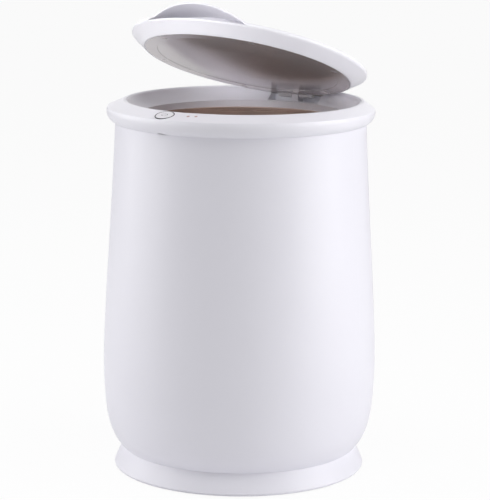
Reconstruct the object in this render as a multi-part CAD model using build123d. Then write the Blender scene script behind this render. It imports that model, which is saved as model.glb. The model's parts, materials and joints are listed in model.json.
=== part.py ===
from build123d import *
from math import asin, atan2, cos, degrees, hypot, radians, sin, sqrt, tan
import os

# Towel warmer bucket. Millimetres, +Z up, front towards -Y.
# The origin is the centre of the base, on the surface that the feet stand on.
# Every piece is drawn with the lid shut; the lid's pieces are then swung open about the hinge pin.

# --- barrel-shaped outer shell -------------------------------------------------------------------
BELLY_R = 154.9         # widest place; the other radii are stepped in from it
BELLY_Z = 122.0
NECK_R = BELLY_R - 13.9     # top edge, under the collar
NECK_Z = 397.2
BASE_R = BELLY_R - 12.3
SEAM_R = BASE_R - 9.4       # foot of the shell, where it meets the base
SEAM_Z = 25.5
HEEL = [(SEAM_R + 9.4, 38.0), (SEAM_R + 17.0, 60.0), (BELLY_R - 1.2, 90.0)]
TAPER = [(BELLY_R - 1.7, 175.0), (BELLY_R - 3.9, 218.0), (BELLY_R - 6.6, 261.0), (NECK_R + 4.7, 304.0),
         (NECK_R + 2.3, 347.0)]
SHELL_WALL = 3.0
SHELL_FLANGE_R = SEAM_R - 15.2      # inner edge of the flange that closes the foot

# --- base ----------------------------------------------------------------------------------------
BASE_UNDERSIDE_Z = 1.5
BASE_EDGE_Z = 4.5       # where the flare turns into the rounded lower edge
BASE_WALL = 2.6
FLARE_MID = (0.62, 0.42)    # a place on the flare, as shares of its reach and its height
SEAM_GROOVE = 0.6       # step that shows the parting line under the shell
FOOT_PAD_R = 9.0
FOOT_PAD_RECESS = 1.0
FOOT_PAD_CIRCLE_R = SHELL_FLANGE_R - 10.0
FOOT_PAD_COUNT = 4
VENT_COUNT = 12
VENT_CIRCLE_R = 62.0
VENT_LENGTH = 26.0
VENT_WIDTH = 4.0
BASE_SCREW_COUNT = 4
BASE_SCREW_CIRCLE_R = SHELL_FLANGE_R + 7.5
BASE_POST_R = 4.6
BOARD_POST_R = 3.2      # the posts that carry the circuit boards

# --- fasteners -----------------------------------------------------------------------------------
SCREW_R = 1.5
SCREW_HOLE_R = 1.55
SCREW_CLEAR_R = 1.65
SCREW_HEAD_R = 3.0
SCREW_HEAD_H = 2.0
FIT = 0.3               # assembly clearance between mouldings
RUNNING_FIT = 0.05      # radial clearance of a turning or sliding fit

# --- collar --------------------------------------------------------------------------------------
MOUTH_Y = 5.6           # the mouth, the liner and the lid are set back from the shell's axis
COLLAR_TOP_Z = NECK_Z + 23.5
CREST_R = NECK_R + 1.3      # where the rolled edge would reach the height of the crest
BEAD_R = NECK_R + 9.7       # widest place of the rolled edge
BEAD_Z = NECK_Z + 12.2
BEAD_TOP_ROUND = 4.0        # the tighter of the two rounds that make up each half of the rolled edge
BEAD_FOOT_ROUND = 5.0
COLLAR_WALL = 3.0
LAND_R = CREST_R - 7.0      # where the land starts to fall outwards
LAND_FALL = 6.3
LAND_REACH = 12.3           # how far out, at the sides, it falls by that much
LAND_SHIFT = -7.1           # how far forward the circle at its foot lies
FUNNEL_TOP_R = CREST_R - 11.3
FUNNEL_FOOT_R = FUNNEL_TOP_R - 14.4
FUNNEL_FOOT_Z = COLLAR_TOP_Z - 15.2
FUNNEL_HOLLOW = 2.1     # how far the slope sags below a straight line
CREST_ROUND = 1.8
CREST_ANGLE = 69.0      # steepness of the slope where it leaves the land
LIP_R = FUNNEL_FOOT_R - 1.0
LIP_FOOT_Z = NECK_Z + 0.8
SPIGOT_DEPTH = 12.0
HOOK_COUNT = 4
HOOK_WIDTH = 16.0
HOOK_REACH = 1.2

# --- control face --------------------------------------------------------------------------------
CONTROL_SLOPE = 14.0
CONTROL_WIDTH = 150.0
BUTTON_X = -15.4
BUTTON_Y = MOUTH_Y - FUNNEL_TOP_R - 11.8
BUTTON_R = 9.8
BEZEL_WIDTH = 1.1
BEZEL_DEPTH = 2.4
BEZEL_PROUD = 0.35
BUTTON_PROUD = 0.5
BUTTON_CAP_H = 2.6
BUTTON_SKIRT_R = BUTTON_R + 1.0
BUTTON_SKIRT_H = 1.4
BUTTON_TRAVEL = 1.0
SIGN_R = 3.5            # the engraved power sign
SIGN_LINE = 0.7
SIGN_DEPTH = 0.3
STEM_R = 2.4
LAMP_PLACES = [(13.0, BUTTON_Y + 1.8), (22.0, BUTTON_Y + 3.2)]
LAMP_R = 1.7
BOARD_DROP = 12.0       # control board below the control face
BOARD_LENGTH = 60.0
BOARD_WIDTH = 13.0
BOARD_THICKNESS = 1.6
BOARD_SCREW_X = 25.5
SWITCH_SIDE = 6.2
SWITCH_H = 3.9
PLUNGER_R = 1.6
PLUNGER_PROUD = 1.4

# --- liner, heater and insulation ----------------------------------------------------------------
LINER_R = LIP_R - 3.3
LINER_WALL = 1.2
LINER_FLOOR_Z = 60.0
LINER_CORNER_R = 14.0
LINER_FLANGE_R = LINER_R + 7.2
HEATER_THICKNESS = 1.6
HEATER_FOOT_Z = 105.0
HEATER_TOP_Z = NECK_Z - 72.2
HEATER_GAP_ANGLE = 12.0
WRAP_GAP = 0.4
WRAP_THICKNESS = 8.0
WRAP_FOOT_Z = 76.0
WRAP_TOP_Z = NECK_Z - 11.2
RETAINER_H = 3.0
RETAINER_R = LINER_R + 14.7
RETAINER_SCREW_COUNT = 6
RETAINER_SCREW_CIRCLE_R = LINER_R + 10.5
RETAINER_BOSS_R = 4.0
STAND_R = LINER_R - 38.3
STAND_WALL = 3.0
STAND_WINDOW_COUNT = 6
STAND_WINDOW_WIDTH = 34.0
STAND_FLANGE_R = STAND_R + 18.0
SENSOR_X = 28.0         # the thermostat and the thermal fuse, either side of the middle
THERMOSTAT_R = 8.2
THERMOSTAT_H = 9.0
FUSE_R = 2.2
FUSE_LENGTH = 16.0

# --- power board and cord inlet ------------------------------------------------------------------
POWER_BOARD_LENGTH = 84.0
POWER_BOARD_WIDTH = 52.0
POWER_BOARD_Z = 12.0
GLAND_Z = 13.5
GLAND_SEAT_Y = BASE_R + 0.4
GLAND_SINK = 9.0        # depth of the flat seat behind the gland's flange
GLAND_R = 5.0
GLAND_BORE_R = 3.4
GLAND_FLANGE_R = 7.2
GLAND_FLANGE_H = 2.0
GLAND_PROUD = 7.0
GLAND_INSIDE = 8.0

# --- lid, measured from its underside and its own centre ------------------------------------------
LID_Z = COLLAR_TOP_Z - 8.8      # underside of the shut lid
LID_RIM_R = FUNNEL_TOP_R - 12.4
LID_MOUTH_R = LID_RIM_R - 1.7
LID_WIDEST_R = FUNNEL_TOP_R + 3.3
LID_CROWN_H = 29.0
LID_DOME_R = 695.0
LID_SHOULDER_ROUND = 4.0    # between the band and the dome
LID_BAND_ROUND = 2.6        # between the band and its flare
LID_WALL = 3.0
PANEL_THICKNESS = 2.2
PANEL_STEP_R = LID_MOUTH_R - 13.9
PANEL_STEP = 0.7
LID_BOSS_COUNT = 6
LID_BOSS_CIRCLE_R = LID_MOUTH_R - 6.9
LID_BOSS_R = 4.0
CAP_R = 4.0
CAP_H = 0.8
PAD_H = 4.2             # height of the panel's pads round its screws
LID_SCREW_SEAT = 2.9
FOAM_R = LID_MOUTH_R - 32.9
FOAM_THICKNESS = 8.0

# --- hump handle on the lid ----------------------------------------------------------------------
HUMP_X = -3.5
HUMP_H = 32.4           # top of its brow
HUMP_ARC_R = 130.0
HUMP_FALL = 4.0         # degrees that the crown falls towards the rear
HUMP_EDGE_R = LID_WIDEST_R - 3.7
BROW = 2.2
BROW_ROUND = 1.2
SCOOP_FLOOR_H = 13.0
SCOOP_DEPTH = 44.0      # from the widest place of the band to the back of the recess
SCOOP_BACK_R = 100.0

# --- hinge ---------------------------------------------------------------------------------------
HINGE_Y = MOUTH_Y + FUNNEL_TOP_R - 6.1
HINGE_Z = COLLAR_TOP_Z - 5.7
REST_OPEN = 21.7        # the lid stands this far open
LID_REAR_Y = HINGE_Y - 4.0  # the rear of the band is planed off so that it swings clear of the collar
REAR_RELIEF_R = 7.9     # hollow along the hinge that clears the collar's crest
REAR_RELIEF_HALF = 58.0
PIN_R = 2.0
KNUCKLE_R = 5.2
BUSH_R = 3.4
BUSH_FLANGE = 0.6
KNUCKLE_START = 5.0
KNUCKLE_END = 22.0
POCKET_HALF = 33.0
POCKET_FLOOR_Z = NECK_Z + 3.8
POCKET_REAR_Y = HINGE_Y + 7.5
POCKET_WALL = 2.5
CHEEK = 5.0
LUG_HALF = 4.0
LEAF_THICKNESS = 2.6
LEAF_LIFT = 1.9         # underside of the leaf above the pin's axis
LEAF_REACH = 34.0
LEAF_SCREW_X = 15.0
LEAF_SCREW_Y = HINGE_Y - 27.5

HINGE_AXIS = Axis((0, HINGE_Y, HINGE_Z), (-1, 0, 0))
FAR = 400.0             # larger than the object, for cutting tools


def face_of(*curves):
    """A flat face inside the given edges and wires, drawn as radius and height."""
    return make_face([edge for curve in curves for edge in curve.edges()])


def turned(*curves, centre_y=0.0):
    """The solid that an outline sweeps about a vertical axis."""
    return Pos(0, centre_y, 0) * revolve(Plane.XZ * face_of(*curves), Axis.Z)


def beside(curve, distance, steps=10):
    """A curve that keeps a distance to the left of another as it runs."""
    places = [i / steps for i in range(steps + 1)]
    return Spline([curve @ t + distance * (curve % t).rotate(Axis.Z, 90) for t in places])


def disc(radius, bottom, top, x=0.0, y=0.0):
    """An upright cylinder between two heights."""
    return Pos(x, y, bottom) * Cylinder(radius, top - bottom, align=(Align.CENTER, Align.CENTER, Align.MIN))


def tube(outer, inner, bottom, top, x=0.0, y=0.0):
    return disc(outer, bottom, top, x, y) - disc(inner, bottom - 1, top + 1, x, y)


def block(x0, x1, y0, y1, z0, z1):
    return Pos((x0 + x1) / 2, (y0 + y1) / 2, (z0 + z1) / 2) * Box(x1 - x0, y1 - y0, z1 - z0)


def around(count, radius, start=0.0):
    """Places on a circle about the axis, each turned to face outwards."""
    return [Rot(0, 0, start + 360 * i / count) * Pos(radius, 0, 0) for i in range(count)]


def screw(length):
    """A pan-head screw that points down from its head's seat at the origin."""
    shank = disc(SCREW_R, -length, 0)
    head = disc(SCREW_HEAD_R, 0, SCREW_HEAD_H)
    return shank + chamfer(head.edges().group_by(Axis.Z)[-1], SCREW_HEAD_H / 2)


def in_lid(height):
    """Height in the shut position of a place measured from the lid's underside."""
    return LID_Z + height


def swung(shape):
    """A piece of the lid, turned from shut to where the lid stands at rest."""
    return shape.rotate(HINGE_AXIS, REST_OPEN)


# --- shell and base ------------------------------------------------------------------------------
def shell_side():
    """The barrel's outline from foot to top: a quick flare to the belly, then a long taper."""
    return Spline((SEAM_R, SEAM_Z), *HEEL, (BELLY_R, BELLY_Z), *TAPER, (NECK_R, NECK_Z))


def hook_places():
    return around(HOOK_COUNT, 0, 45)


def hook(grow):
    """The wedge of one snap hook on the collar's spigot, or with grow its pocket in the shell."""
    reach = NECK_R - SHELL_WALL - FIT + HOOK_REACH + grow
    root = NECK_R - SHELL_WALL - FIT - 1
    low = NECK_Z - SPIGOT_DEPTH + 2 - grow
    high = low + 4 + 2 * grow
    wedge = Polyline((root, low), (reach, high - 1), (reach, high), (root, high), close=True)
    half = HOOK_WIDTH / 2 + grow
    return Pos(0, half, 0) * extrude(Plane.XZ * face_of(wedge), 2 * half)


def outer_shell():
    outside = shell_side()
    inside = beside(outside, SHELL_WALL)
    inner_floor = (inside @ 0).Y
    barrel = turned(
        outside, inside,
        Line(outside @ 1, inside @ 1),
        Polyline(inside @ 0, (SHELL_FLANGE_R, inner_floor), (SHELL_FLANGE_R, SEAM_Z), outside @ 0),
    )
    for place in around(BASE_SCREW_COUNT, BASE_SCREW_CIRCLE_R, 45):
        boss = disc(BASE_POST_R, SEAM_Z + SHELL_WALL / 2, SEAM_Z + 14)
        barrel += place * boss
    for place in around(BASE_SCREW_COUNT, BASE_SCREW_CIRCLE_R, 45):
        barrel -= place * disc(SCREW_HOLE_R, SEAM_Z - 1, SEAM_Z + 12)
    for place in hook_places():
        barrel -= place * hook(FIT)
    return barrel


def base_ring():
    """The flared base, a shallow pan with a rounded lower edge."""
    top = SEAM_Z
    seat_r = SEAM_R - SEAM_GROOVE
    edge = BASE_EDGE_Z - BASE_UNDERSIDE_Z
    flare_mid = (seat_r + FLARE_MID[0] * (BASE_R - seat_r), BASE_EDGE_Z + FLARE_MID[1] * (top - BASE_EDGE_Z))
    inside_top = top - BASE_WALL
    inside_floor = BASE_UNDERSIDE_Z + BASE_WALL
    pan = turned(
        Polyline((0, BASE_UNDERSIDE_Z), (BASE_R - edge, BASE_UNDERSIDE_Z)),
        RadiusArc((BASE_R - edge, BASE_UNDERSIDE_Z), (BASE_R, BASE_EDGE_Z), -edge),
        ThreePointArc((BASE_R, BASE_EDGE_Z), flare_mid, (seat_r, top)),
        Polyline((seat_r, top), (SHELL_FLANGE_R + 1, top), (SHELL_FLANGE_R + 1, inside_top),
                 (seat_r - BASE_WALL, inside_top)),
        ThreePointArc((seat_r - BASE_WALL, inside_top), (flare_mid[0] - BASE_WALL, flare_mid[1]),
                      (BASE_R - 1.3 * BASE_WALL, inside_floor)),
        Polyline((BASE_R - 1.3 * BASE_WALL, inside_floor), (0, inside_floor), (0, BASE_UNDERSIDE_Z)),
    )
    for place in around(BASE_SCREW_COUNT, BASE_SCREW_CIRCLE_R, 45):
        pan += place * disc(BASE_POST_R, inside_floor - 1, top)
    for place in power_board_corners():
        pan += place * tube(BOARD_POST_R, SCREW_HOLE_R, inside_floor - 1, POWER_BOARD_Z)
    for place in around(BASE_SCREW_COUNT, BASE_SCREW_CIRCLE_R, 45):
        pan -= place * disc(SCREW_HOLE_R, 0, top + 1)
        pan -= place * disc(SCREW_HEAD_R + FIT, 0, BASE_UNDERSIDE_Z + SCREW_HEAD_H + FIT)
    for place in around(FOOT_PAD_COUNT, FOOT_PAD_CIRCLE_R):
        pan -= place * disc(FOOT_PAD_R + FIT / 2, 0, BASE_UNDERSIDE_Z + FOOT_PAD_RECESS)
    for place in around(VENT_COUNT, VENT_CIRCLE_R, 180 / VENT_COUNT):
        slot = SlotOverall(VENT_LENGTH, VENT_WIDTH)
        pan -= place * Pos(0, 0, BASE_UNDERSIDE_Z - 1) * extrude(slot, BASE_WALL + 2)
    pan += rearward(GLAND_SEAT_Y - GLAND_SINK, GLAND_FLANGE_R + 0.8, GLAND_SINK)
    return pan - rearward(GLAND_SEAT_Y - 20, GLAND_R + FIT / 4, 40)


def rearward(y, radius, length):
    """A cylinder that runs to the rear from y at the height of the cord inlet."""
    return Pos(0, y, GLAND_Z) * Rot(-90, 0, 0) * disc(radius, 0, length)


def power_board_corners():
    """The places of the power board's four screws."""
    return [Pos(x, y, 0) for x in (5 - POWER_BOARD_LENGTH / 2, POWER_BOARD_LENGTH / 2 - 5)
            for y in (5 - POWER_BOARD_WIDTH / 2, POWER_BOARD_WIDTH / 2 - 5)]


def rubber_feet():
    foot = disc(FOOT_PAD_R, 0, BASE_UNDERSIDE_Z + FOOT_PAD_RECESS)
    foot = chamfer(foot.edges().group_by(Axis.Z)[0], 0.6)
    return [place * foot for place in around(FOOT_PAD_COUNT, FOOT_PAD_CIRCLE_R)]


def base_screws():
    seat = BASE_UNDERSIDE_Z + SCREW_HEAD_H + FIT
    upright = Pos(0, 0, seat) * Rot(180, 0, 0) * screw(SEAM_Z + 10 - seat)
    return [place * upright for place in around(BASE_SCREW_COUNT, BASE_SCREW_CIRCLE_R, 45)]


# --- collar --------------------------------------------------------------------------------------
def two_rounds(width, height, small):
    """A quarter turn made of a small and a large round: the large radius, and the angle where they meet."""
    large = (width ** 2 + height ** 2 - 2 * height * small) / (2 * (width - small))
    return large, degrees(atan2(height - small, large - width))


def rolled_edge(inset):
    """The collar's rolled edge in four tangent rounds, from the land to where it sits on the shell."""
    large, meet = two_rounds(BEAD_R - CREST_R, COLLAR_TOP_Z - BEAD_Z, BEAD_TOP_ROUND)
    brow = JernArc((CREST_R, COLLAR_TOP_Z - inset), (1, 0), BEAD_TOP_ROUND - inset, meet - 90)
    upper = JernArc(brow @ 1, brow % 1, large - inset, -meet)
    large, meet = two_rounds(BEAD_R - NECK_R, BEAD_Z - NECK_Z, BEAD_FOOT_ROUND)
    lower = JernArc(upper @ 1, upper % 1, large - inset, -meet)
    return [brow, upper, lower, JernArc(lower @ 1, lower % 1, BEAD_FOOT_ROUND - inset, meet - 90)]


def funnel(grow, floor):
    """The room inside the slope and the lip, or with grow the outside of their wall."""
    top_r = FUNNEL_TOP_R + grow
    reach = CREST_ROUND * tan(radians(CREST_ANGLE / 2))
    land = (top_r + reach, COLLAR_TOP_Z)
    turn = (top_r - reach * cos(radians(CREST_ANGLE)), COLLAR_TOP_Z - reach * sin(radians(CREST_ANGLE)))
    sag = 0.7 * (FUNNEL_HOLLOW + grow)
    middle = ((FUNNEL_TOP_R + FUNNEL_FOOT_R) / 2 + sag, (COLLAR_TOP_Z + FUNNEL_FOOT_Z) / 2 - sag)
    foot = (FUNNEL_FOOT_R + 0.4 * grow, FUNNEL_FOOT_Z - 0.9 * grow)
    lip = LIP_R + grow
    return turned(
        Polyline((0, COLLAR_TOP_Z + 1), (land[0], COLLAR_TOP_Z + 1), land),
        RadiusArc(land, turn, CREST_ROUND),
        ThreePointArc(turn, middle, foot),
        Polyline(foot, (lip, foot[1]), (lip, floor), (0, floor), (0, COLLAR_TOP_Z + 1)),
        centre_y=MOUTH_Y,
    )


def under_land(drop=0.0):
    """Everything under the land, which falls outwards all round and is widest at the front."""
    rings = []
    for share in (-0.5, 2):
        centre_y = MOUTH_Y + share * LAND_SHIFT
        level = COLLAR_TOP_Z - share * LAND_FALL - drop
        rings.append(Pos(0, centre_y, level) * Circle(LAND_R + share * LAND_REACH))
    foot = COLLAR_TOP_Z - 2 * LAND_FALL - drop
    return loft(rings, ruled=True) + disc(LAND_R + 2 * LAND_REACH, 0, foot, 0, MOUTH_Y + 2 * LAND_SHIFT)


def control_plane(drop=0.0):
    """The sloping control face at the front of the land, x to the right, z out of it."""
    edge_y = MOUTH_Y - FUNNEL_TOP_R
    face = Plane(origin=(0, edge_y, COLLAR_TOP_Z), x_dir=(1, 0, 0),
                 z_dir=(0, -sin(radians(CONTROL_SLOPE)), cos(radians(CONTROL_SLOPE))))
    return face.offset(-drop)


def on_control(x, y):
    """A place on the control face, given by where it lies in plan."""
    edge_y = MOUTH_Y - FUNNEL_TOP_R
    return Plane(origin=(x, y, COLLAR_TOP_Z - (edge_y - y) * tan(radians(CONTROL_SLOPE))),
                 x_dir=(1, 0, 0), z_dir=control_plane().z_dir)


def pocket_room(grow=0.0):
    """The hinge pocket behind the lip, or with grow the block that walls it."""
    half = POCKET_HALF + (CHEEK if grow else 0)
    room = block(-half, half, 100, POCKET_REAR_Y + grow, POCKET_FLOOR_Z - grow, COLLAR_TOP_Z + 5)
    return room - disc(LIP_R + POCKET_WALL + 0.4 - grow, 300, 500, 0, MOUTH_Y)


def board_posts():
    """Pillars under the control face that carry the control board."""
    posts = []
    for x in (-BOARD_SCREW_X, BOARD_SCREW_X):
        pillar = Pos(x, board_centre_y(), -BOARD_DROP / 2) * Cylinder(BOARD_POST_R, BOARD_DROP)
        posts.append(control_plane() * pillar)
    return posts


def board_centre_y():
    """The board's middle, measured down the control face from its upper edge."""
    return -(MOUTH_Y - FUNNEL_TOP_R - BUTTON_Y) / cos(radians(CONTROL_SLOPE))


def collar_ring():
    top = COLLAR_TOP_Z
    spigot_r = NECK_R - SHELL_WALL - FIT
    spigot_foot = NECK_Z - SPIGOT_DEPTH
    spigot_in = spigot_r - COLLAR_WALL + 0.4
    body = turned(
        Polyline((0, top), (CREST_R, top)),
        *rolled_edge(0),
        Polyline((NECK_R, NECK_Z), (spigot_r, NECK_Z), (spigot_r, spigot_foot), (0, spigot_foot), (0, top)),
    )
    inside = turned(
        Polyline((0, top - COLLAR_WALL), (CREST_R, top - COLLAR_WALL)),
        *rolled_edge(COLLAR_WALL),
        Polyline((NECK_R, NECK_Z + COLLAR_WALL), (spigot_in, NECK_Z + COLLAR_WALL), (spigot_in, spigot_foot - 1),
                 (0, spigot_foot - 1), (0, top - COLLAR_WALL)),
    )
    body &= under_land()
    inside &= under_land(1.1 * COLLAR_WALL)
    slope_wall = funnel(COLLAR_WALL, LIP_FOOT_Z)
    ring = body - (inside - slope_wall)
    half = CONTROL_WIDTH / 2
    face_plate = control_plane() * block(-half, half, -half / 2, half / 2, -COLLAR_WALL, 0)
    ring += body & face_plate
    ring += body & pocket_room(POCKET_WALL)
    for post in board_posts():
        ring += post & body
    for place in around(RETAINER_SCREW_COUNT, RETAINER_SCREW_CIRCLE_R):
        boss = Pos(0, MOUTH_Y, 0) * (place * disc(RETAINER_BOSS_R, LIP_FOOT_Z, LIP_FOOT_Z + 16))
        ring += boss & body
    ring -= funnel(0, spigot_foot - 1)
    ring -= control_plane() * block(-FAR / 2, FAR / 2, -half, 0, 0, half)
    lug = block(-LUG_HALF, LUG_HALF, HINGE_Y - KNUCKLE_R, POCKET_REAR_Y + 1, POCKET_FLOOR_Z - 1, HINGE_Z)
    lug += Pos(0, HINGE_Y, HINGE_Z) * Rot(0, 90, 0) * Cylinder(KNUCKLE_R, 2 * LUG_HALF)
    ring -= pocket_room()
    ring += lug
    ring -= Pos(0, HINGE_Y, HINGE_Z) * Rot(0, 90, 0) * Cylinder(PIN_R, 2 * (POCKET_HALF + CHEEK - 1))
    for place in around(RETAINER_SCREW_COUNT, RETAINER_SCREW_CIRCLE_R):
        ring -= Pos(0, MOUTH_Y, 0) * (place * disc(SCREW_HOLE_R, LIP_FOOT_Z - 1, LIP_FOOT_Z + 10))
    for x in (-BOARD_SCREW_X, BOARD_SCREW_X):
        ring -= control_plane() * Pos(x, board_centre_y(), -BOARD_DROP) * Cylinder(SCREW_HOLE_R, 14)
    button = button_plane()
    ring -= button * Cylinder(BUTTON_R + BEZEL_WIDTH, 2 * BEZEL_DEPTH)
    ring -= button * Cylinder(BUTTON_R + FIT, 40)
    ring -= button * Pos(0, 0, -20 - BUTTON_CAP_H) * Cylinder(BUTTON_SKIRT_R + FIT, 40)
    for x, y in LAMP_PLACES:
        ring -= on_control(x, y) * Cylinder(LAMP_R + FIT / 3, 20)
    for place in hook_places():
        ring += place * hook(0)
    return ring


# --- controls ------------------------------------------------------------------------------------
def button_plane():
    return on_control(BUTTON_X, BUTTON_Y)


def power_button():
    """A round cap with a retaining skirt, a stem to the switch and an engraved power sign."""
    cap = disc(BUTTON_R, BUTTON_PROUD - BUTTON_CAP_H, BUTTON_PROUD)
    cap = chamfer(cap.edges().group_by(Axis.Z)[-1], BUTTON_PROUD - 0.1)
    skirt_top = -BUTTON_CAP_H - FIT
    cap += disc(BUTTON_R - 2 * FIT, skirt_top - BUTTON_SKIRT_H / 2, BUTTON_PROUD - BUTTON_CAP_H / 2)
    cap += disc(BUTTON_SKIRT_R, skirt_top - BUTTON_SKIRT_H, skirt_top)
    cap += disc(STEM_R, switch_top(), skirt_top - BUTTON_SKIRT_H / 2)
    sunk = BUTTON_PROUD - SIGN_DEPTH
    sign = tube(SIGN_R, SIGN_R - SIGN_LINE, sunk, BUTTON_PROUD + 1)
    sign -= block(-2 * SIGN_LINE, 2 * SIGN_LINE, 0, 2 * SIGN_R, sunk - 1, BUTTON_PROUD + 2)
    sign += block(-SIGN_LINE / 2, SIGN_LINE / 2, SIGN_R / 4, SIGN_R + SIGN_LINE, sunk, BUTTON_PROUD + 1)
    return button_plane() * (cap - sign)


def button_bezel():
    """A pressed-in trim ring round the button, standing a hair above the control face."""
    ring = tube(BUTTON_R + BEZEL_WIDTH, BUTTON_R + FIT, -BEZEL_DEPTH, BEZEL_PROUD)
    return button_plane() * chamfer(ring.edges().group_by(Axis.Z)[-1], BEZEL_PROUD - 0.1)


def indicator_lenses():
    lenses = []
    for x, y in LAMP_PLACES:
        rod = disc(LAMP_R, -COLLAR_WALL - 1.5, 0.25)
        lenses.append(on_control(x, y) * chamfer(rod.edges().group_by(Axis.Z)[-1], 0.2))
    return lenses


def switch_top():
    """Top of the switch's plunger below the control face."""
    return -BOARD_DROP + SWITCH_H + PLUNGER_PROUD


def control_board():
    """The board under the control face, with its lamps and a connector on it."""
    top = -BOARD_DROP
    middle = Pos(0, board_centre_y(), top - BOARD_THICKNESS / 2)
    board = middle * Box(BOARD_LENGTH, BOARD_WIDTH, BOARD_THICKNESS)
    for x in (-BOARD_SCREW_X, BOARD_SCREW_X):
        board -= Pos(x, board_centre_y(), top) * Cylinder(SCREW_CLEAR_R, 6)
    board += Pos(-5, board_centre_y() + 3.5, top - BOARD_THICKNESS - 2) * Box(12, 5, 4)
    board = control_plane() * board
    for x, y in LAMP_PLACES:
        board += on_control(x, y) * disc(1.5, top - 0.2, -COLLAR_WALL - 2.0)
    return board


def tact_switch():
    """The switch's case, with a bore that its plunger slides in."""
    case = Pos(0, 0, -BOARD_DROP + SWITCH_H / 2) * Box(SWITCH_SIDE, SWITCH_SIDE, SWITCH_H)
    case = chamfer(case.edges().filter_by(Axis.Z), 0.6)
    top = -BOARD_DROP + SWITCH_H
    return button_plane() * (case - disc(PLUNGER_R + RUNNING_FIT, top - 2 * BUTTON_TRAVEL - FIT, top + 1))


def switch_plunger():
    """The plunger under the button's stem, which moves with the button."""
    return button_plane() * disc(PLUNGER_R, -BOARD_DROP + SWITCH_H - BUTTON_TRAVEL, switch_top())


def board_screws():
    seat = -BOARD_DROP - BOARD_THICKNESS
    upright = Pos(0, board_centre_y(), seat) * Rot(180, 0, 0) * screw(6.5)
    return [control_plane() * Pos(x, 0, 0) * upright for x in (-BOARD_SCREW_X, BOARD_SCREW_X)]


# --- liner, heater and insulation ----------------------------------------------------------------
def inner_liner():
    """The spun tub that holds the towels, with a flange under the collar's lip."""
    outer = LINER_R + LINER_WALL
    floor = LINER_FLOOR_Z - LINER_WALL
    tub = turned(
        Polyline((0, floor), (outer - LINER_CORNER_R, floor)),
        RadiusArc((outer - LINER_CORNER_R, floor), (outer, floor + LINER_CORNER_R), -LINER_CORNER_R),
        Polyline((outer, floor + LINER_CORNER_R), (outer, LIP_FOOT_Z - LINER_WALL),
                 (LINER_FLANGE_R, LIP_FOOT_Z - LINER_WALL), (LINER_FLANGE_R, LIP_FOOT_Z), (LINER_R, LIP_FOOT_Z),
                 (LINER_R, floor + LINER_CORNER_R)),
        RadiusArc((LINER_R, floor + LINER_CORNER_R), (outer - LINER_CORNER_R, LINER_FLOOR_Z),
                  LINER_CORNER_R - LINER_WALL),
        Polyline((outer - LINER_CORNER_R, LINER_FLOOR_Z), (0, LINER_FLOOR_Z), (0, floor)),
        centre_y=MOUTH_Y,
    )
    return tub


def liner_retainer():
    """The ring screwed up to the collar that clamps the liner's flange."""
    top = LIP_FOOT_Z - LINER_WALL
    ring = tube(RETAINER_R, LINER_R + LINER_WALL + FIT, top - RETAINER_H, top)
    ring += tube(RETAINER_R, LINER_FLANGE_R + FIT, top - 1, LIP_FOOT_Z)
    for place in around(RETAINER_SCREW_COUNT, RETAINER_SCREW_CIRCLE_R):
        ring -= place * disc(SCREW_CLEAR_R, top - RETAINER_H - 1, LIP_FOOT_Z + 1)
    return Pos(0, MOUTH_Y, 0) * ring


def retainer_screws():
    seat = LIP_FOOT_Z - LINER_WALL - RETAINER_H
    upright = Pos(0, 0, seat) * Rot(180, 0, 0) * screw(12)
    places = around(RETAINER_SCREW_COUNT, RETAINER_SCREW_CIRCLE_R)
    return [Pos(0, MOUTH_Y, 0) * place * upright for place in places]


def band_round(inner, outer, bottom, top, gap_angle):
    """A sleeve about the liner with a gap at the rear."""
    sleeve = tube(outer, inner, bottom, top)
    width = 2 * outer * sin(radians(gap_angle / 2))
    sleeve -= block(-width / 2, width / 2, 0, outer + 5, bottom - 1, top + 1)
    return Pos(0, MOUTH_Y, 0) * sleeve


def heater_band():
    inner = LINER_R + LINER_WALL
    band = band_round(inner, inner + HEATER_THICKNESS, HEATER_FOOT_Z, HEATER_TOP_Z, HEATER_GAP_ANGLE)
    lugs = []
    reach = (inner + HEATER_THICKNESS) * sin(radians(HEATER_GAP_ANGLE / 2))
    for x in (-reach - 4, reach + 4):
        y = sqrt((inner + HEATER_THICKNESS) ** 2 - x ** 2) + MOUTH_Y
        lugs.append(block(x - 3, x + 3, y - 0.4, y + 5, HEATER_FOOT_Z + 3, HEATER_FOOT_Z + 13))
    return band + lugs


def insulation_wrap():
    inner = LINER_R + LINER_WALL + HEATER_THICKNESS + WRAP_GAP
    return band_round(inner, inner + WRAP_THICKNESS, WRAP_FOOT_Z, WRAP_TOP_Z, 2 * HEATER_GAP_ANGLE)


def liner_stand():
    """The drum that carries the liner's floor, with windows for air and wires."""
    floor = BASE_UNDERSIDE_Z + BASE_WALL
    top = LINER_FLOOR_Z - LINER_WALL
    drum = tube(STAND_R, STAND_R - STAND_WALL, floor, top)
    drum += tube(STAND_FLANGE_R, STAND_R - STAND_WALL, top - STAND_WALL, top)
    drum += tube(STAND_FLANGE_R, STAND_R - STAND_WALL, floor, floor + STAND_WALL)
    for place in around(STAND_WINDOW_COUNT, STAND_R, 30):
        window = Box(3 * STAND_WALL + 6, STAND_WINDOW_WIDTH, top - floor - 6 * STAND_WALL)
        window = fillet(window.edges().filter_by(Axis.X), 6)
        drum -= place * Pos(0, 0, (top + floor) / 2) * window
    return Pos(0, MOUTH_Y, 0) * drum


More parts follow.
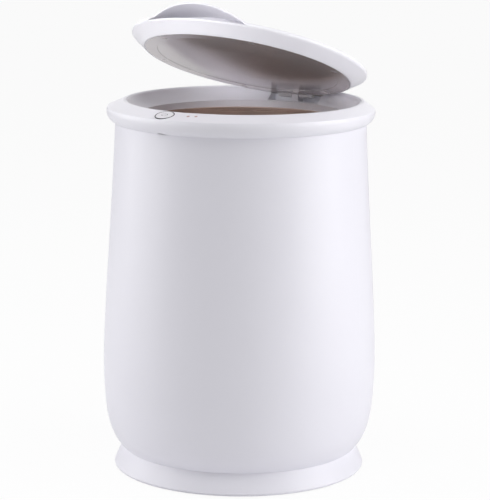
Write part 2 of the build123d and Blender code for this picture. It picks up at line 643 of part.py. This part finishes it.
def thermostat():
    """A disc thermostat on the underside of the liner, with its two tags."""
    top = LINER_FLOOR_Z - LINER_WALL
    body = disc(THERMOSTAT_R, top - THERMOSTAT_H + 2, top)
    body += disc(THERMOSTAT_R - 2, top - THERMOSTAT_H, top - THERMOSTAT_H + 3)
    for x in (-4, 4):
        body += block(x - 0.4, x + 0.4, -3.2, 3.2, top - THERMOSTAT_H - 8, top - THERMOSTAT_H + 1)
    return Pos(SENSOR_X, MOUTH_Y, 0) * body


def thermal_fuse():
    top = LINER_FLOOR_Z - LINER_WALL
    barrel = Pos(0, 0, top - FUSE_R - 0.8) * Rot(0, 90, 0) * Cylinder(FUSE_R, FUSE_LENGTH)
    leads = Pos(0, 0, top - FUSE_R - 0.8) * Rot(0, 90, 0) * Cylinder(0.6, FUSE_LENGTH + 14)
    clip = block(-3, 3, -FUSE_R - 0.8, FUSE_R + 0.8, top - 2 * FUSE_R - 1.6, top)
    return Pos(-SENSOR_X, MOUTH_Y, 0) * (barrel + leads + clip)


# --- power board and cord inlet ------------------------------------------------------------------
def power_board():
    half_x, half_y = POWER_BOARD_LENGTH / 2, POWER_BOARD_WIDTH / 2
    board = block(-half_x, half_x, -half_y, half_y, POWER_BOARD_Z, POWER_BOARD_Z + BOARD_THICKNESS)
    for place in power_board_corners():
        board -= place * disc(SCREW_CLEAR_R, 0, 2 * POWER_BOARD_Z)
    top = POWER_BOARD_Z + BOARD_THICKNESS
    relay = block(-30, -11, -12, 4, top - 0.2, top + 16)
    capacitor = disc(6.5, top - 0.2, top + 14, 4, -8)
    terminal = block(-22, 22, 14, 23, top - 0.2, top + 10)
    choke = disc(8, top - 0.2, top + 11, 25, -4)
    return board + chamfer(relay.edges().group_by(Axis.Z)[-1], 1) + capacitor + terminal + choke


def power_board_screws():
    upright = Pos(0, 0, POWER_BOARD_Z + BOARD_THICKNESS) * screw(7)
    return [place * upright for place in power_board_corners()]


def cord_gland():
    """The bush in the rear of the base that the mains cord passes through."""
    flange = rearward(GLAND_SEAT_Y, GLAND_FLANGE_R, GLAND_FLANGE_H)
    bush = rearward(GLAND_SEAT_Y - GLAND_INSIDE, GLAND_R, GLAND_INSIDE)
    bush += chamfer(flange.edges().group_by(Axis.Y)[-1], GLAND_FLANGE_H / 2)
    sleeve = Cone(GLAND_R, GLAND_R - 1, GLAND_PROUD, align=(Align.CENTER, Align.CENTER, Align.MIN))
    bush += Pos(0, GLAND_SEAT_Y + 1, GLAND_Z) * Rot(-90, 0, 0) * sleeve
    return bush - rearward(GLAND_SEAT_Y - 20, GLAND_BORE_R, 40)


# --- lid -----------------------------------------------------------------------------------------
def dome_angle():
    """How far round the dome turns before its shoulder, so that the band ends upright."""
    return degrees(asin((LID_WIDEST_R - LID_SHOULDER_ROUND) / (LID_DOME_R - LID_SHOULDER_ROUND)))


def lid_outline():
    """The lid's outline from its crown, out over the dome, round the band and down the flare to the rim."""
    dome = JernArc((0, in_lid(LID_CROWN_H)), (1, 0), LID_DOME_R, -dome_angle())
    shoulder = JernArc(dome @ 1, dome % 1, LID_SHOULDER_ROUND, dome_angle() - 90)
    widest = shoulder @ 1
    across = widest.X - LID_BAND_ROUND - LID_RIM_R
    height = widest.Y - in_lid(0)
    lean = degrees(atan2(height, across) - asin(LID_BAND_ROUND / hypot(across, height)))
    band = JernArc(widest, (0, -1), LID_BAND_ROUND, lean - 90)
    return [dome, shoulder, band, Line(band @ 1, (LID_RIM_R, in_lid(0)))]


def lid_body():
    """The lid without its hump, filled."""
    middle = Polyline((LID_RIM_R, in_lid(0)), (0, in_lid(0)), (0, in_lid(LID_CROWN_H)))
    return turned(*lid_outline(), middle, centre_y=MOUTH_Y)


def lid_room(wall):
    """The room inside the lid's dome and band, open at the rim."""
    crown = (0, in_lid(LID_CROWN_H) - wall)
    ceiling = JernArc(crown, (1, 0), LID_DOME_R - wall, -dome_angle())
    lower = ceiling @ 1 - (0.75 * wall, 0.93 * wall)
    rim = (LID_MOUTH_R, in_lid(0) + 0.8 * wall)
    below = in_lid(0) - wall
    sides = Polyline(ceiling @ 1, lower, rim, (LID_MOUTH_R, below), (0, below), crown)
    return turned(ceiling, sides, centre_y=MOUTH_Y)


def hump_crown(drop):
    """The hump's arched back: a long cylinder, proud at the front, that sinks towards the rear."""
    front_y = MOUTH_Y - HUMP_EDGE_R
    fall = radians(HUMP_FALL)
    middle = (HUMP_X, front_y, in_lid(HUMP_H) - HUMP_ARC_R)
    line = Plane(origin=middle, x_dir=(1, 0, 0), z_dir=(0, cos(fall), -sin(fall)))
    return line * Cylinder(HUMP_ARC_R - drop, FAR)


def hump(wall):
    """The hump above the dome's foot, filled; wall is how far inside the surface it lies."""
    side = disc(HUMP_EDGE_R - wall, in_lid(SCOOP_FLOOR_H - 4), in_lid(HUMP_H + 5), 0, MOUTH_Y)
    whole = hump_crown(wall) & side
    if wall:
        return whole
    brow = [e for e in whole.edges() if (e @ 0.5).Z > in_lid(HUMP_H - BROW) and (e @ 0.5).Y < 0]
    return fillet(brow, BROW_ROUND)


def scoop(grow):
    """The finger recess under the hump's brow, or with grow the outside of its walls."""
    back_y = MOUTH_Y - LID_WIDEST_R + SCOOP_DEPTH - SCOOP_BACK_R
    back = disc(SCOOP_BACK_R + grow, in_lid(SCOOP_FLOOR_H) - grow, in_lid(HUMP_H + 5), HUMP_X, back_y)
    return back & hump_crown(BROW - grow)


def rear_cut(inset):
    """Everything behind the flat across the rear of the lid's band."""
    front = LID_REAR_Y - inset
    return block(-FAR / 2, FAR / 2, front, front + FAR / 2, in_lid(0) - 5, in_lid(LID_CROWN_H + 5))


def relief_wall(grow=0.0):
    """The thicker foot of the lid's rear wall, in front of the hollow along the hinge."""
    half = REAR_RELIEF_HALF + LID_WALL
    reach = REAR_RELIEF_R + LID_WALL + grow
    return block(-half, half, HINGE_Y - reach, HINGE_Y + reach, in_lid(0) - 5, HINGE_Z + reach - LID_WALL / 2)


def along_pin(radius, x0, x1):
    """A cylinder about the pin's axis between two places along it."""
    return Pos((x0 + x1) / 2, HINGE_Y, HINGE_Z) * Rot(0, 90, 0) * Cylinder(radius, x1 - x0)


def leaf_block(grow=0.0):
    bottom = HINGE_Z + LEAF_LIFT - grow
    return block(-KNUCKLE_END - grow, KNUCKLE_END + grow, LID_REAR_Y - LEAF_REACH - grow, HINGE_Y,
                 bottom, bottom + LEAF_THICKNESS + 2 * grow)


def lid_screw_places():
    return [Pos(0, MOUTH_Y, 0) * place for place in around(LID_BOSS_COUNT, LID_BOSS_CIRCLE_R)]


def leaf_screw_places():
    return [Pos(x, LEAF_SCREW_Y, 0) for x in (-LEAF_SCREW_X, LEAF_SCREW_X)]


def lid_shell():
    outside = lid_body() + hump(0)
    inside = lid_room(LID_WALL) - rear_cut(LID_WALL) + (hump(LID_WALL) - scoop(LID_WALL))
    inside -= scoop(LID_WALL)
    inside -= relief_wall()
    shell = outside - inside - rear_cut(0) - scoop(0)
    shell -= along_pin(REAR_RELIEF_R, -REAR_RELIEF_HALF, REAR_RELIEF_HALF)
    within = lid_room(LID_WALL / 2)
    for place in lid_screw_places():
        shell += place * disc(LID_BOSS_R, in_lid(PAD_H) + 0.2, in_lid(LID_CROWN_H)) & within
    for place in leaf_screw_places():
        shell += place * disc(LID_BOSS_R, HINGE_Z + LEAF_LIFT + LEAF_THICKNESS, in_lid(LID_CROWN_H)) & within
    for place in lid_screw_places():
        shell -= place * disc(SCREW_HOLE_R, in_lid(0), in_lid(13))
    for place in leaf_screw_places():
        shell -= place * disc(SCREW_HOLE_R, in_lid(0), in_lid(15))
    return shell - leaf_block(FIT)


def lid_inner_panel():
    """The flat underside of the lid, with pads above it round the screws."""
    edge = LID_MOUTH_R - FIT / 2
    panel = disc(edge, in_lid(0), in_lid(PANEL_THICKNESS), 0, MOUTH_Y)
    panel -= disc(PANEL_STEP_R, in_lid(0) - 1, in_lid(PANEL_STEP), 0, MOUTH_Y)
    panel += disc(PANEL_STEP_R, in_lid(PANEL_THICKNESS) - 0.5, in_lid(PANEL_THICKNESS + PANEL_STEP), 0, MOUTH_Y)
    for place in lid_screw_places():
        panel += place * disc(LID_BOSS_R + 2, in_lid(PANEL_THICKNESS) - 1, in_lid(PAD_H))
    panel -= relief_wall(FIT / 2)
    for place in lid_screw_places():
        panel -= place * disc(SCREW_CLEAR_R, in_lid(0) - 1, in_lid(PAD_H) + 1)
        panel -= place * disc(CAP_R, in_lid(0) - 1, in_lid(LID_SCREW_SEAT))
    return panel


def lid_screws():
    upright = Pos(0, 0, in_lid(LID_SCREW_SEAT)) * Rot(180, 0, 0) * screw(9)
    return [place * upright for place in lid_screw_places()]


def screw_caps():
    cap = disc(CAP_R, in_lid(0), in_lid(CAP_H))
    return [place * cap for place in lid_screw_places()]


def lid_insulation():
    bottom = in_lid(PANEL_THICKNESS + PANEL_STEP)
    return disc(FOAM_R, bottom, bottom + FOAM_THICKNESS, 0, MOUTH_Y)


# --- hinge ---------------------------------------------------------------------------------------
def hinge_leaf():
    leaf = leaf_block()
    leaf = fillet(leaf.edges().filter_by(Axis.Z).group_by(Axis.Y)[0], 5)
    for x0, x1 in ((-KNUCKLE_END, -KNUCKLE_START), (KNUCKLE_START, KNUCKLE_END)):
        leaf += along_pin(KNUCKLE_R, x0, x1)
    leaf -= block(-KNUCKLE_START, KNUCKLE_START, HINGE_Y - KNUCKLE_R - 1.3, HINGE_Y + 1, HINGE_Z, HINGE_Z + 10)
    leaf -= along_pin(BUSH_R, -KNUCKLE_END - 1, KNUCKLE_END + 1)
    for place in leaf_screw_places():
        leaf -= place * disc(SCREW_CLEAR_R, HINGE_Z, HINGE_Z + 10)
    return leaf


def leaf_screws():
    upright = Pos(0, 0, HINGE_Z + LEAF_LIFT) * Rot(180, 0, 0) * screw(10)
    return [place * upright for place in leaf_screw_places()]


def friction_bushes():
    """Sleeves pressed into the knuckles that grip the pin, so that the lid stays where it is left."""
    bore = along_pin(PIN_R + RUNNING_FIT, -KNUCKLE_END - 1, KNUCKLE_END + 1)
    bushes = []
    for side in (-1, 1):
        inner, outer = side * (KNUCKLE_START - BUSH_FLANGE), side * KNUCKLE_END
        sleeve = along_pin(BUSH_R, min(inner, outer), max(inner, outer))
        rim_x = sorted((inner, side * KNUCKLE_START))
        bushes.append(sleeve + along_pin(KNUCKLE_R - 0.7, *rim_x) - bore)
    return bushes


def hinge_pin():
    reach = POCKET_HALF + CHEEK - 1.2
    return along_pin(PIN_R, -reach, reach)


# --- write every piece ---------------------------------------------------------------------------
def write(name, shape, in_the_lid=False):
    solids = [solid for item in (shape if isinstance(shape, list) else [shape]) for solid in item.solids()]
    if in_the_lid:
        solids = [swung(solid) for solid in solids]
    export_step(solids[0] if len(solids) == 1 else Compound(solids), f"parts/{name}.step")


os.makedirs("parts", exist_ok=True)
for piece in (
    outer_shell, base_ring, rubber_feet, base_screws, collar_ring,
    power_button, button_bezel, indicator_lenses, control_board, tact_switch, switch_plunger, board_screws,
    inner_liner, liner_retainer, retainer_screws, heater_band, insulation_wrap, liner_stand,
    thermostat, thermal_fuse, power_board, power_board_screws, cord_gland, hinge_pin,
):
    write(piece.__name__, piece())
for piece in (
    lid_shell, lid_inner_panel, lid_screws, screw_caps, lid_insulation, hinge_leaf, leaf_screws, friction_bushes,
):
    write(piece.__name__, piece(), in_the_lid=True)
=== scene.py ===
import json
import math

import bmesh
import bpy
from mathutils import Matrix, Vector


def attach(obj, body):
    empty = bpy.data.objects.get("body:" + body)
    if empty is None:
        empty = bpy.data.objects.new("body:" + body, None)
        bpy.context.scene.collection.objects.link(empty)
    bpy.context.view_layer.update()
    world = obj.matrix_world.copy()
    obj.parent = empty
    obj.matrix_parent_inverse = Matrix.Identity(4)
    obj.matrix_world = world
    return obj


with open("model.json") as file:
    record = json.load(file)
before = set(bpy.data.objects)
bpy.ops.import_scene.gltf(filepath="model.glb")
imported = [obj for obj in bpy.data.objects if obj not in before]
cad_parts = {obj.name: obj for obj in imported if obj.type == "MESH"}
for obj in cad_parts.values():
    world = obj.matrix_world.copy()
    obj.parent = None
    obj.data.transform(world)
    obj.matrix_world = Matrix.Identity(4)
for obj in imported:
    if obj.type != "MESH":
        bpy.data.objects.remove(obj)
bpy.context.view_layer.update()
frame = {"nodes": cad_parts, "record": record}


def put(name, data):
    """Puts a camera, a lamp or a mesh into the scene."""
    thing = bpy.data.objects.new(name, data)
    bpy.context.scene.collection.objects.link(thing)
    return thing


def put_shape(name, shape, mat):
    """Makes an object of a bmesh, with one material."""
    mesh = bpy.data.meshes.new(name)
    shape.to_mesh(mesh)
    shape.free()
    mesh.materials.append(mat)
    return put(name, mesh)


# ------------------------------------------------------------------ the photograph's camera
FOCAL_PIXELS = 2280.5
PICTURE_PIXELS = 500            # along the picture's longer side
SENSOR_MM = 36.0
CLIP = (0.05, 60)
AZIMUTH = math.radians(30.0)    # of the camera, to the right of the object's front
DISTANCE = 2.542                # from the object's axis
HEIGHT = 0.740
PAN = 0.0022                    # radians, as are the next two
PITCH = 0.1906
ROLL = 0.0073


def place_camera():
    data = bpy.data.cameras.new("camera")
    data.sensor_width = SENSOR_MM
    data.lens = FOCAL_PIXELS / PICTURE_PIXELS * SENSOR_MM
    data.clip_start, data.clip_end = CLIP
    camera = put("camera", data)
    look = AZIMUTH - PAN
    level = Vector((-math.sin(look), math.cos(look), 0))
    forward = level * math.cos(PITCH) - Vector((0, 0, math.sin(PITCH)))
    side = Vector((math.cos(look), math.sin(look), 0))
    up = side.cross(forward)
    right = side * math.cos(ROLL) + up * math.sin(ROLL)
    top = up * math.cos(ROLL) - side * math.sin(ROLL)
    away = Vector((math.sin(AZIMUTH), -math.cos(AZIMUTH), 0))
    spot = away * DISTANCE + Vector((0, 0, HEIGHT))
    axes = Matrix((right, top, -forward)).transposed().to_4x4()
    camera.matrix_world = Matrix.Translation(spot) @ axes
    bpy.context.scene.camera = camera


# ------------------------------------------------------------------ materials' parts
def material(name, colour, roughness, metallic=0.0, **sockets):
    """A plain surface; a socket's name is written with _ for each space."""
    mat = bpy.data.materials.new(name)
    mat.use_nodes = True
    shader = surface(mat)
    shader.inputs["Base Color"].default_value = (*colour, 1)
    shader.inputs["Roughness"].default_value = roughness
    shader.inputs["Metallic"].default_value = metallic
    for socket, value in sockets.items():
        shader.inputs[socket.replace("_", " ")].default_value = value
    return mat


def surface(mat):
    return mat.node_tree.nodes["Principled BSDF"]


def add(mat, kind, **settings):
    """A node with its sockets and its options set by name."""
    node = mat.node_tree.nodes.new(kind)
    for key, value in settings.items():
        if key in node.inputs:
            node.inputs[key].default_value = value
        else:
            setattr(node, key, value)
    return node


def join(mat, start, end):
    mat.node_tree.links.new(start, end)


def object_coords(mat):
    for node in mat.node_tree.nodes:
        if node.bl_idname == "ShaderNodeTexCoord":
            return node.outputs["Object"]
    return add(mat, "ShaderNodeTexCoord").outputs["Object"]


def noise(mat, scale, detail, coords=None, roughness=0.5):
    node = add(mat, "ShaderNodeTexNoise", Scale=scale, Detail=detail, Roughness=roughness)
    join(mat, coords or object_coords(mat), node.inputs["Vector"])
    return node.outputs["Fac"]


def vary(mat, pattern, socket, low, high, start=0.3, end=0.7):
    """Runs a socket from one colour to another between two heights of a pattern."""
    node = add(mat, "ShaderNodeValToRGB")
    stops = ((start, low), (end, high))
    for element, (place, colour) in zip(node.color_ramp.elements, stops):
        element.position = place
        element.color = (*colour, 1)
    join(mat, pattern, node.inputs["Fac"])
    join(mat, node.outputs["Color"], surface(mat).inputs[socket])


def bump(mat, pattern, strength, depth):
    node = add(mat, "ShaderNodeBump", Strength=strength, Distance=depth)
    join(mat, pattern, node.inputs["Height"])
    join(mat, node.outputs["Normal"], surface(mat).inputs["Normal"])


def grey(value):
    return (value, value, value)


def times(colour, factor):
    return tuple(c * factor for c in colour)


# ------------------------------------------------------------------ materials
COARSE_GRAIN = 0.00003      # depth of orange peel and of fine scratches
FINE_GRAIN = 0.00001
LACQUER_ROUGHNESS = 0.12


def moulded(name, colour, roughness, coat, grain=COARSE_GRAIN, tint=0.012, metallic=0.0,
            specular=0.5):
    """Injection-moulded plastic: faint flow marks, slightly uneven gloss and orange peel."""
    mat = material(name, colour, roughness, metallic, Coat_Weight=coat,
                   Coat_Roughness=LACQUER_ROUGHNESS, Specular_IOR_Level=specular)
    flow = noise(mat, 5.0, 1.0)
    vary(mat, flow, "Base Color", times(colour, 1 - tint), colour, 0.2, 0.8)
    gloss = noise(mat, 14.0, 1.0)
    vary(mat, gloss, "Roughness", grey(roughness * 0.95), grey(roughness * 1.05), 0.2, 0.8)
    bump(mat, noise(mat, 420.0, 2.0), 0.25, grain)
    return mat


def spun_metal(name, colour):
    """Spun and anodised sheet: rings about the axis, warm and softly reflecting."""
    mat = material(name, colour, 0.30, 0.9, Anisotropic=0.4)
    squeeze = add(mat, "ShaderNodeMapping", Scale=(1.5, 1.5, 240.0))
    join(mat, object_coords(mat), squeeze.inputs["Vector"])
    rings = noise(mat, 3.0, 4.0, squeeze.outputs["Vector"])
    bump(mat, rings, 0.35, 0.0002)
    vary(mat, rings, "Roughness", grey(0.24), grey(0.38))
    vary(mat, noise(mat, 7.0, 3.0), "Base Color", times(colour, 0.82), colour)
    return mat


def plated(name, colour, roughness, scale=900.0):
    """Plated or ground steel with fine scratches."""
    mat = material(name, colour, roughness, 1.0)
    marks = noise(mat, scale, 6.0)
    vary(mat, marks, "Roughness", grey(roughness * 0.7), grey(roughness * 1.5))
    vary(mat, noise(mat, 60.0, 2.0), "Base Color", times(colour, 0.85), colour, 0.35, 0.65)
    bump(mat, marks, 0.2, COARSE_GRAIN)
    return mat


def rubbery(name, colour):
    """Soft moulded rubber, dusty in its pores."""
    mat = material(name, colour, 0.7, Specular_IOR_Level=0.35)
    dusty = tuple(min(1, c * 1.5 + 0.02) for c in colour)
    vary(mat, noise(mat, 80.0, 5.0), "Base Color", colour, dusty, 0.3, 0.75)
    bump(mat, noise(mat, 900.0, 3.0), 0.4, 0.0001)
    return mat


def felt(name, colour):
    """Needled fibre wrap."""
    mat = material(name, colour, 0.95, Sheen_Weight=0.4, Sheen_Roughness=0.6)
    fibres = noise(mat, 700.0, 8.0, roughness=0.75)
    vary(mat, fibres, "Base Color", times(colour, 0.7), colour)
    bump(mat, fibres, 0.7, 0.0006)
    return mat


def circuit_board(name, track, mask):
    """Lacquered board with square pads and the darker mask between them."""
    mat = material(name, mask, 0.35, Coat_Weight=0.5, Coat_Roughness=0.15)
    cells = add(mat, "ShaderNodeTexVoronoi", Scale=260.0, distance="CHEBYCHEV")
    join(mat, object_coords(mat), cells.inputs["Vector"])
    vary(mat, cells.outputs["Distance"], "Base Color", track, mask, 0.2, 0.42)
    bump(mat, cells.outputs["Distance"], 0.3, 0.0001)
    return mat


def lens(name, dark, light):
    """Tinted clear plastic, a little milky."""
    mat = material(name, light, 0.15, Transmission_Weight=0.2, IOR=1.49)
    vary(mat, noise(mat, 500.0, 2.0), "Base Color", dark, light)
    return mat


WHITE = (0.80, 0.79, 0.85)
BODY = dict(colour=WHITE, roughness=0.36, coat=0.04, specular=0.32)
PLATE = dict(colour=(0.80, 0.75, 0.76), roughness=0.2, coat=0.2, grain=FINE_GRAIN, metallic=0.7)
MATERIALS = {
    "shell_white": (moulded, BODY),
    "base_white": (moulded, BODY),
    "collar_white": (moulded, dict(colour=(0.80, 0.79, 0.845), roughness=0.32, coat=0.08,
                                   specular=0.36)),
    "lid_white": (moulded, dict(colour=(0.865, 0.855, 0.905), roughness=0.30, coat=0.1,
                                specular=0.4)),
    "hinge_white": (moulded, dict(colour=(0.74, 0.735, 0.77), roughness=0.32, coat=0.1)),
    "button_white": (moulded, dict(colour=(0.82, 0.81, 0.85), roughness=0.28, coat=0.2)),
    "cap_grey": (moulded, dict(PLATE, roughness=0.3)),
    "panel_grey": (moulded, PLATE),
    "retainer_plastic": (moulded, dict(colour=grey(0.62), roughness=0.5, coat=0.0)),
    "stand_plastic": (moulded, dict(colour=grey(0.58), roughness=0.55, coat=0.0)),
    "bush_nylon": (moulded, dict(colour=(0.76, 0.74, 0.66), roughness=0.45, coat=0.0)),
    "thermostat_body": (moulded, dict(colour=(0.03, 0.028, 0.026), roughness=0.5, coat=0.0)),
    "fuse_body": (moulded, dict(colour=(0.55, 0.51, 0.40), roughness=0.6, coat=0.0)),
    "switch_black": (moulded, dict(colour=(0.02, 0.02, 0.022), roughness=0.45, coat=0.0)),
    "plunger_tan": (moulded, dict(colour=(0.26, 0.14, 0.06), roughness=0.45, coat=0.0)),
    "heater_silicone": (rubbery, dict(colour=(0.36, 0.06, 0.02))),
    "foot_rubber": (rubbery, dict(colour=grey(0.035))),
    "gland_rubber": (rubbery, dict(colour=grey(0.55))),
    "wrap_felt": (felt, dict(colour=(0.66, 0.62, 0.52))),
    "board_green": (circuit_board, dict(track=(0.03, 0.20, 0.09), mask=(0.012, 0.10, 0.045))),
    "lens_red": (lens, dict(dark=(0.68, 0.45, 0.44), light=(0.78, 0.54, 0.53))),
    "bezel_grey": (plated, dict(colour=(0.035, 0.035, 0.04), roughness=0.3, scale=500.0)),
    "screw_steel": (plated, dict(colour=(0.48, 0.47, 0.45), roughness=0.3)),
    "pin_steel": (plated, dict(colour=grey(0.55), roughness=0.18)),
    "liner_metal": (spun_metal, dict(colour=(0.76, 0.60, 0.53))),
}


def dress_nodes():
    """Gives every CAD node its slot's material."""
    slots = {part["node"]: part["material_slot"] for part in frame["record"]["subparts"]}
    made = {}
    for name, node in frame["nodes"].items():
        slot = slots[name]
        if slot not in made:
            maker, settings = MATERIALS[slot]
            made[slot] = maker(slot, **settings)
        node.data.materials.clear()
        node.data.materials.append(made[slot])


# ------------------------------------------------------------------ the power sign's paint
BUTTON = Vector((-0.0154, -0.1372, 0.41776))    # on the control face, under the button's middle
CONTROL_SLOPE = math.radians(14.0)
SIGN_OUT = 0.00345
SIGN_IN = 0.00285
SIGN_GAP = 26.0             # degrees to each side of the sign's top
SIGN_STEPS = 48
SIGN_FLOOR = 0.00018        # above the control face, as is the next one
SIGN_TOP = 0.00036
BAR_HALF = 0.00028
BAR_REACH = (0.0011, 0.0040)


def on_button(x, y, z):
    """A place given across, up and out of the sloping control face."""
    across = Vector((1, 0, 0))
    up_slope = Vector((0, math.cos(CONTROL_SLOPE), math.sin(CONTROL_SLOPE)))
    out = Vector((0, -math.sin(CONTROL_SLOPE), math.cos(CONTROL_SLOPE)))
    return BUTTON + across * x + up_slope * y + out * z


def painted_line(shape, inner, outer):
    """A thin closed strip between two rows of places on the button."""
    rows = []
    for level in (SIGN_FLOOR, SIGN_TOP):
        for line in (inner, outer):
            rows.append([shape.verts.new(on_button(x, y, level)) for x, y in line])
    low_in, low_out, top_in, top_out = rows
    for a, b in ((top_in, top_out), (low_out, low_in), (top_out, low_out), (low_in, top_in)):
        for i in range(len(a) - 1):
            shape.faces.new((a[i], a[i + 1], b[i + 1], b[i]))
    for end in (0, -1):
        shape.faces.new((low_in[end], low_out[end], top_out[end], top_in[end]))


def power_sign():
    """The dark paint in the button's engraved sign: a broken ring and a bar."""
    shape = bmesh.new()
    sweep = 360 - 2 * SIGN_GAP
    turns = [math.radians(90 + SIGN_GAP + sweep * i / SIGN_STEPS) for i in range(SIGN_STEPS + 1)]
    inner, outer = ([(radius * math.cos(t), radius * math.sin(t)) for t in turns]
                    for radius in (SIGN_IN, SIGN_OUT))
    painted_line(shape, inner, outer)
    left, right = ([(x, y) for y in BAR_REACH] for x in (-BAR_HALF, BAR_HALF))
    painted_line(shape, left, right)
    bmesh.ops.recalc_face_normals(shape, faces=shape.faces)
    paint = moulded("sign_paint", (0.03, 0.03, 0.035), 0.5, 0.0, tint=0.15)
    sign = put_shape("power_sign", shape, paint)
    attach(sign, "button")


# ------------------------------------------------------------------ the bright plate under the lid
HINGE = Vector((0, 0.1305, 0.415))
LID_OPEN = math.radians(21.7)
LID_MIDDLE_Y = 0.0056
LID_UNDERSIDE = 0.4119      # height of the shut lid's underside
PLATE_R = 0.10296
PLATE_BOTTOM = 0.00008      # above the lid's underside, as is the next one
PLATE_TOP = 0.00062
PLATE_EDGE = 0.0005         # radius of its rounded lower edge
PLATE_EDGE_STEPS = 4
PLATE_SIDES = 144


def plate_outline():
    """Radius and height above the lid's underside, from the middle below to the middle above."""
    flat_r = PLATE_R - PLATE_EDGE
    outline = [(0.0, PLATE_BOTTOM), (PLATE_R / 2, PLATE_BOTTOM), (flat_r, PLATE_BOTTOM)]
    for i in range(1, PLATE_EDGE_STEPS + 1):
        turn = math.radians(90 * i / PLATE_EDGE_STEPS)
        radius = PLATE_R - PLATE_EDGE * (1 - math.sin(turn))
        outline.append((radius, PLATE_BOTTOM + PLATE_EDGE * (1 - math.cos(turn))))
    return outline + [(PLATE_R, PLATE_TOP), (0.0, PLATE_TOP)]


def plate_ring(shape, radius, height):
    """One ring of the plate, turned up with the lid; at the middle it is one point."""
    swing = Matrix.Rotation(-LID_OPEN, 3, "X")
    ring = []
    count = PLATE_SIDES if radius else 1
    for i in range(count):
        turn = math.tau * i / count
        x, y = radius * math.cos(turn), LID_MIDDLE_Y + radius * math.sin(turn)
        place = Vector((x, y, LID_UNDERSIDE + height))
        ring.append(shape.verts.new(HINGE + swing @ (place - HINGE)))
    return ring


def reflector():
    """The thin polished plate that lies in the recess of the lid's underside."""
    shape = bmesh.new()
    rings = [plate_ring(shape, radius, height) for radius, height in plate_outline()]
    for low, high in zip(rings, rings[1:]):
        for i in range(PLATE_SIDES):
            j = (i + 1) % PLATE_SIDES
            corners = [low[i % len(low)], low[j % len(low)],
                       high[j % len(high)], high[i % len(high)]]
            shape.faces.new(list(dict.fromkeys(corners)))
    bmesh.ops.recalc_face_normals(shape, faces=shape.faces)
    for face in shape.faces:
        face.smooth = True
    plate = put_shape("lid_reflector", shape, moulded("reflector", **PLATE))
    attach(plate, "lid")


# ------------------------------------------------------------------ background and floor
AMBIENT = 0.2               # strength of the background as a source of light
FLOOR_GLOW = 0.94           # share of white that the floor shows to the camera
FLOOR_HALF = 12.0
FLOOR_CELLS = 24


def background():
    """White to the camera, in mirrors and through lenses, and dim as a source of light."""
    world = bpy.data.worlds.new("studio")
    bpy.context.scene.world = world
    world.use_nodes = True
    tree = world.node_tree
    back = tree.nodes["Background"]
    back.inputs["Color"].default_value = (1, 1, 1, 1)
    rays = tree.nodes.new("ShaderNodeLightPath")
    seen = rays.outputs["Is Camera Ray"]
    for kind in ("Is Glossy Ray", "Is Transmission Ray"):
        either = tree.nodes.new("ShaderNodeMath")
        either.operation = "MAXIMUM"
        tree.links.new(seen, either.inputs[0])
        tree.links.new(rays.outputs[kind], either.inputs[1])
        seen = either.outputs[0]
    strength = tree.nodes.new("ShaderNodeMapRange")
    strength.inputs["To Min"].default_value = AMBIENT
    strength.inputs["To Max"].default_value = 1.0
    tree.links.new(seen, strength.inputs["Value"])
    tree.links.new(strength.outputs["Result"], back.inputs["Strength"])


def lay_floor():
    """A plain floor that shows nearly white to the camera and keeps the object's shadow."""
    mat = material("studio_floor", (0.86, 0.86, 0.87), 0.8)
    glow = add(mat, "ShaderNodeEmission", Strength=1.0)
    rays = add(mat, "ShaderNodeLightPath")
    share = add(mat, "ShaderNodeMath", operation="MULTIPLY")
    share.inputs[1].default_value = FLOOR_GLOW
    blend = add(mat, "ShaderNodeMixShader")
    out = mat.node_tree.nodes["Material Output"]
    join(mat, rays.outputs["Is Camera Ray"], share.inputs[0])
    join(mat, share.outputs[0], blend.inputs["Fac"])
    join(mat, surface(mat).outputs[0], blend.inputs[1])
    join(mat, glow.outputs[0], blend.inputs[2])
    join(mat, blend.outputs[0], out.inputs["Surface"])
    shape = bmesh.new()
    bmesh.ops.create_grid(shape, x_segments=FLOOR_CELLS, y_segments=FLOOR_CELLS, size=FLOOR_HALF)
    put_shape("floor", shape, mat)


# ------------------------------------------------------------------ lamps
def softbox(name, azimuth, distance, height, size, power, aim=(0, 0, 0.25), spread=180):
    """A rectangular lamp; its azimuth is in degrees to the right of the object's front."""
    data = bpy.data.lights.new(name, "AREA")
    data.shape = "RECTANGLE"
    data.size, data.size_y = size
    data.spread = math.radians(spread)
    data.energy = power
    lamp = put(name, data)
    angle = math.radians(azimuth)
    lamp.location = (math.sin(angle) * distance, -math.cos(angle) * distance, height)
    lamp.rotation_euler = (Vector(aim) - lamp.location).to_track_quat("-Z", "Y").to_euler()


def lamps():
    softbox("left_softbox", azimuth=-62, distance=2.0, height=0.85, size=(2.2, 2.2), power=34)
    softbox("right_softbox", azimuth=104, distance=2.0, height=0.85, size=(1.8, 2.2), power=39)
    softbox("top_softbox", azimuth=20, distance=0.6, height=2.4, size=(1.6, 1.6), power=17)
    # two narrow ones, for the slope inside the collar and for the front of the lid's band
    softbox("mouth_light", azimuth=-12, distance=1.1, height=0.70, size=(0.10, 0.03),
            power=0.009, aim=(-0.085, 0.09, 0.42), spread=5)
    softbox("lid_light", azimuth=-22, distance=1.1, height=0.62, size=(0.12, 0.08),
            power=0.026, aim=(0.03, -0.06, 0.505), spread=11)


bpy.context.scene.view_settings.view_transform = "Standard"
place_camera()
dress_nodes()
power_sign()
reflector()
background()
lay_floor()
lamps()
